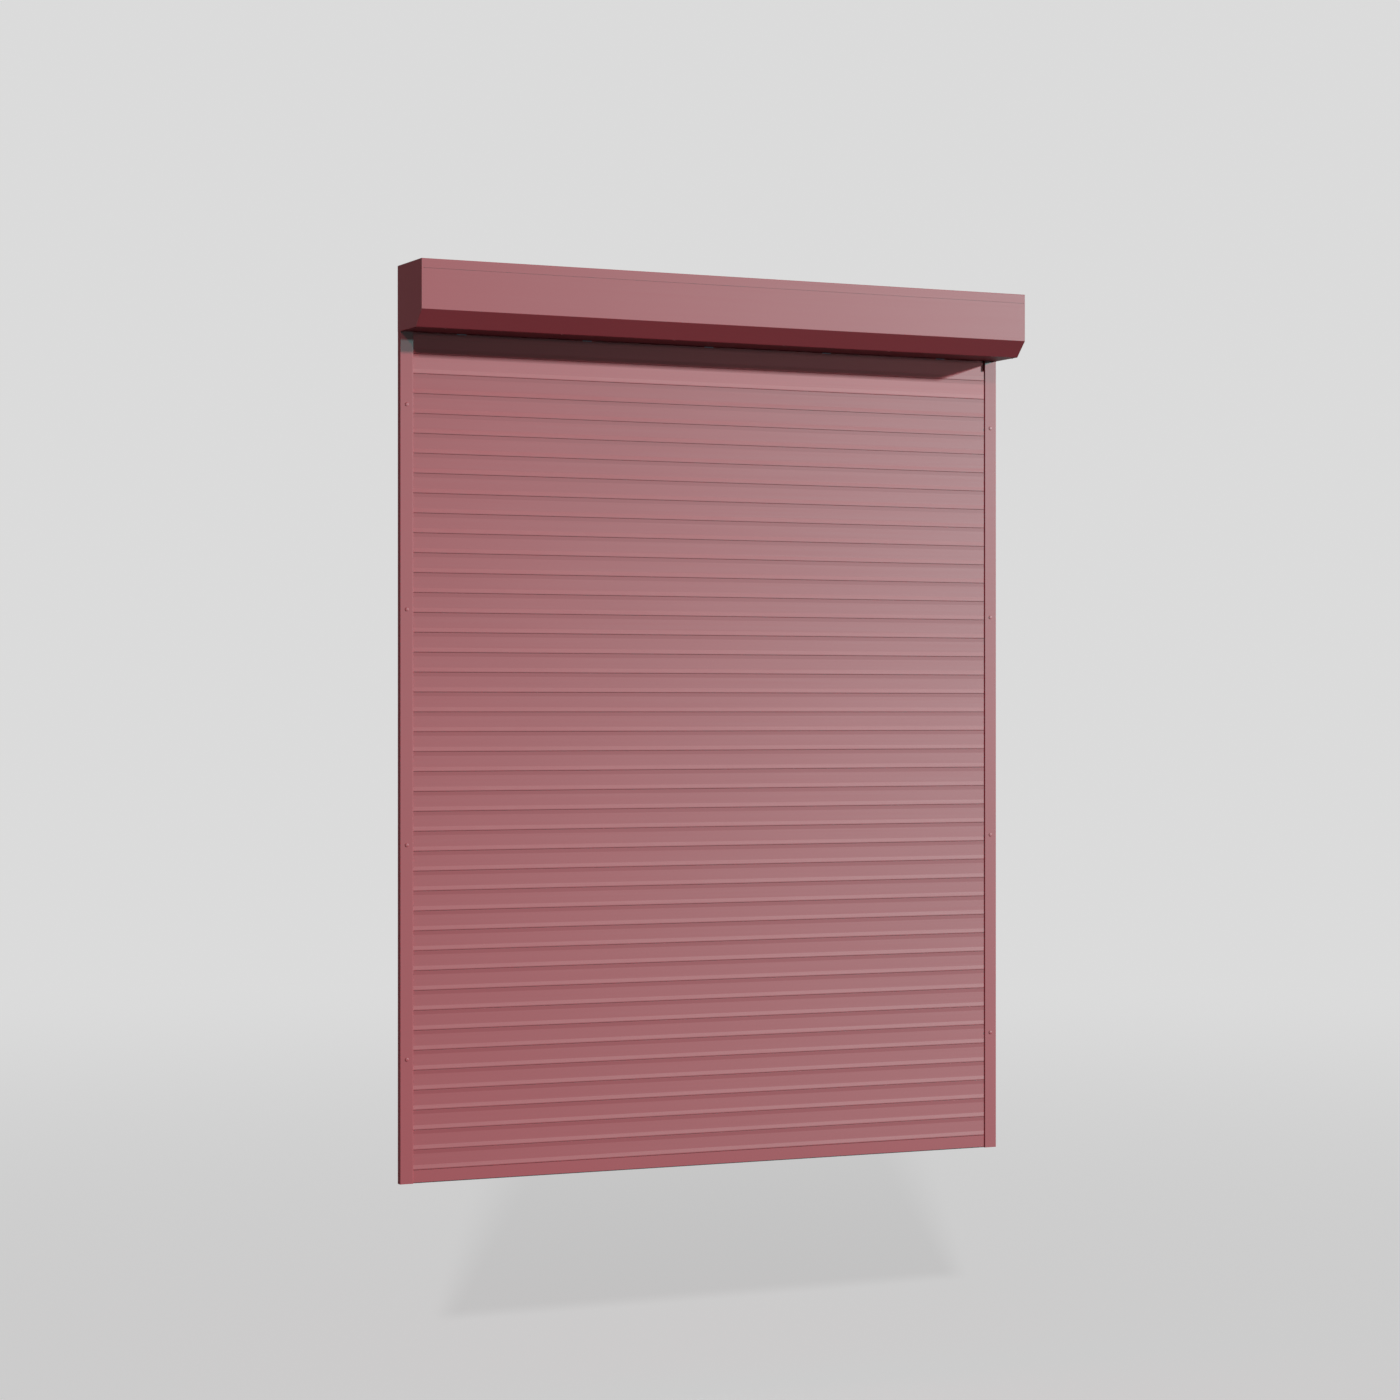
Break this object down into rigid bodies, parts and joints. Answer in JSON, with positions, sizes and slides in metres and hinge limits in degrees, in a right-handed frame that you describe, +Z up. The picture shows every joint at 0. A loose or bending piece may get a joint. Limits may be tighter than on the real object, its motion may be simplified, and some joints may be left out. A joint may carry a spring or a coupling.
{
  "type": "exterior roller shutter",
  "caption": "Front-mounted roller shutter with a chamfered box, guide rails, a closed curtain of hollow slats and a tube motor.",
  "frame": {"origin": "centre of the bounding box in X and Y, at the feet of the guide rails", "axes": "+X along the slats to the right as seen from outside, +Y into the wall, +Z up"},
  "size_m": [2.654, 0.262, 3.5476],
  "materials": {
    "painted_aluminium": "satin powder coat",
    "zinc_steel": "zinc plated",
    "black_plastic": "moulded",
    "plug_plastic": "moulded, in the paint's colour",
    "seal_rubber": "matte"
  },
  "bodies": {
    "frame": {"back_panel": "painted_aluminium", "bearing_bracket": "zinc_steel", "bearing_bush": "black_plastic", "bottom_panel": "painted_aluminium", "box_screws": "zinc_steel", "bracket_screws": "zinc_steel", "cable_grommet": "seal_rubber", "end_cap_left": "painted_aluminium", "end_cap_right": "painted_aluminium", "guide_funnel_left": "black_plastic", "guide_funnel_right": "black_plastic", "guide_rail_left": "painted_aluminium", "guide_rail_right": "painted_aluminium", "hanger_straps": "zinc_steel", "hole_plugs": "plug_plastic", "motor_body": "zinc_steel", "motor_bracket": "zinc_steel", "motor_head": "black_plastic", "rail_foot_plugs": "black_plastic", "rail_seals_left": "seal_rubber", "rail_seals_right": "seal_rubber", "top_panel": "painted_aluminium"},
    "curtain": {"slats_01_02": "painted_aluminium", "slats_03_04": "painted_aluminium", "slats_05_06": "painted_aluminium", "slats_07_08": "painted_aluminium", "slats_09_10": "painted_aluminium", "slats_11_12": "painted_aluminium", "slats_13_14": "painted_aluminium", "slats_15_16": "painted_aluminium", "slats_17_18": "painted_aluminium", "slats_19_20": "painted_aluminium", "slats_21_22": "painted_aluminium", "slats_23_24": "painted_aluminium", "slats_25_26": "painted_aluminium", "slats_27_28": "painted_aluminium", "slats_29_30": "painted_aluminium", "slats_31_32": "painted_aluminium", "slats_33_34": "painted_aluminium", "slats_35_36": "painted_aluminium", "slats_37_38": "painted_aluminium", "slats_39_40": "painted_aluminium", "slats_41_42": "painted_aluminium", "slat_end_locks": "black_plastic", "bottom_bar": "painted_aluminium", "bottom_seal": "seal_rubber", "bar_end_caps": "black_plastic"},
    "roller": {"roller_tube": "zinc_steel", "motor_crown": "black_plastic", "drive_wheel": "black_plastic", "output_shaft": "zinc_steel", "idler_plug": "black_plastic", "idler_pin": "zinc_steel"},
    "cover": {"inspection_cover": "painted_aluminium", "cover_screws": "zinc_steel", "cover_nuts": "zinc_steel"},
    "guide_roller_left": {"guide_roller_left": "black_plastic"},
    "guide_roller_right": {"guide_roller_right": "black_plastic"},
    "limit_screw_up": {"limit_screw_up": "zinc_steel"},
    "limit_screw_down": {"limit_screw_down": "zinc_steel"}
  },
  "joints": [
    {"name": "curtain_lift", "type": "slide", "parent": "frame", "child": "curtain", "axis": [0, 0, 1], "range_m": [0, 0.231], "deforming": ["hanger_straps"]},
    {"name": "roller_turn", "type": "hinge", "parent": "frame", "child": "roller", "pos_m": [0, 0, 3.418], "axis": [1, 0, 0], "range_deg": [0, 316]},
    {"name": "guide_roller_left_turn", "type": "hinge", "parent": "frame", "child": "guide_roller_left", "pos_m": [-1.286, 0.1002, 3.325], "axis": [1, 0, 0], "range_deg": [0, 1105]},
    {"name": "guide_roller_right_turn", "type": "hinge", "parent": "frame", "child": "guide_roller_right", "pos_m": [1.286, 0.1002, 3.325], "axis": [1, 0, 0], "range_deg": [0, 1105]},
    {"name": "cover_pull", "type": "slide", "parent": "frame", "child": "cover", "axis": [0, -1, 0], "range_m": [0, 0.3]},
    {"name": "limit_screw_up_turn", "type": "hinge", "parent": "frame", "child": "limit_screw_up", "pos_m": [1.30565, -0.009, 3.393], "axis": [0, 0, 1], "continuous": true},
    {"name": "limit_screw_down_turn", "type": "hinge", "parent": "frame", "child": "limit_screw_down", "pos_m": [1.30565, 0.009, 3.393], "axis": [0, 0, 1], "continuous": true}
  ],
  "couplings": [
    {"joint": "roller_turn", "follows": "curtain_lift", "rad_per_m": 23.809},
    {"joint": "guide_roller_left_turn", "follows": "curtain_lift", "rad_per_m": 83.333},
    {"joint": "guide_roller_right_turn", "follows": "curtain_lift", "rad_per_m": 83.333}
  ]
}
